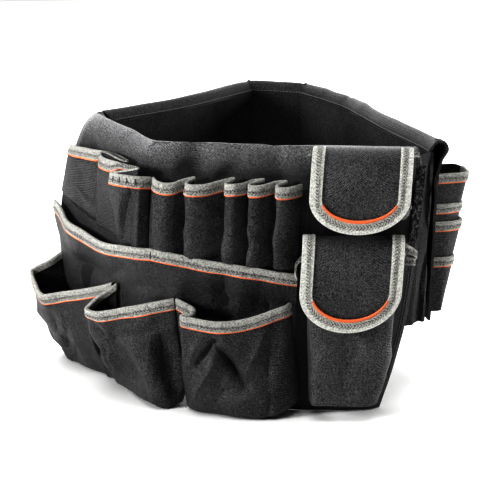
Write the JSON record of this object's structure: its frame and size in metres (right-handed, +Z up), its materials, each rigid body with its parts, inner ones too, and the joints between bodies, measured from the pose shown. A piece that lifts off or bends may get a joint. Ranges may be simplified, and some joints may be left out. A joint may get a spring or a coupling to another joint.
{
  "type": "tool bucket bag",
  "caption": "Cloth tool organiser that slips over a bucket rim, with an inner skirt, two outer skirts, rows of taped pockets, flap pouches and nested tool sleeves.",
  "frame": {"origin": "middle of the footprint, on the surface that the bag stands on", "axes": "+Z up, front with the flap pouches towards -Y, +X to the right of the front"},
  "size_m": [0.3728, 0.3674, 0.2241],
  "materials": {
    "black_cloth": "dense woven black nylon, matt",
    "lining_cloth": "woven black nylon, matt",
    "grey_tape": "light grey herringbone edge tape",
    "orange_piping": "orange cord piping",
    "hook_cloth": "black hook and loop strip"
  },
  "bodies": {
    "root": {"inner_skirt": "lining_cloth", "front_skirt": "black_cloth", "back_skirt": "black_cloth", "tool_loop_1": "black_cloth", "tool_loop_2": "black_cloth", "tool_loop_3": "black_cloth", "loop_tape_left": "grey_tape", "loop_piping_left": "orange_piping", "tool_loop_4": "black_cloth", "tool_loop_5": "black_cloth", "tool_loop_6": "black_cloth", "tool_loop_7": "black_cloth", "tool_loop_8": "black_cloth", "loop_tape_right": "grey_tape", "loop_piping_right": "orange_piping", "middle_pocket_left": "black_cloth", "middle_tape_left": "grey_tape", "middle_piping_left": "orange_piping", "middle_pocket_right": "black_cloth", "middle_tape_right": "grey_tape", "middle_piping_right": "orange_piping", "cargo_pocket_1": "black_cloth", "cargo_tape_1": "grey_tape", "cargo_piping_1": "orange_piping", "cargo_pocket_2": "black_cloth", "cargo_tape_2": "grey_tape", "cargo_piping_2": "orange_piping", "cargo_pocket_3": "black_cloth", "cargo_tape_3": "grey_tape", "cargo_piping_3": "orange_piping", "upper_pouch": "black_cloth", "upper_pouch_tape": "grey_tape", "lower_pouch": "black_cloth", "lower_pouch_tape": "grey_tape", "upper_flap": "black_cloth", "upper_flap_tape": "grey_tape", "upper_flap_piping": "orange_piping", "lower_flap": "black_cloth", "lower_flap_tape": "grey_tape", "lower_flap_piping": "orange_piping", "tool_sleeve_1": "black_cloth", "tool_sleeve_tape_1": "grey_tape", "tool_sleeve_piping_1": "orange_piping", "tool_sleeve_2": "black_cloth", "tool_sleeve_tape_2": "grey_tape", "tool_sleeve_piping_2": "orange_piping", "tool_sleeve_3": "black_cloth", "tool_sleeve_tape_3": "grey_tape", "tool_sleeve_piping_3": "orange_piping", "tool_sleeve_4": "black_cloth", "tool_sleeve_tape_4": "grey_tape", "tool_sleeve_piping_4": "orange_piping", "hook_strip": "hook_cloth", "hinge_tape": "grey_tape"}
  },
  "joints": []
}
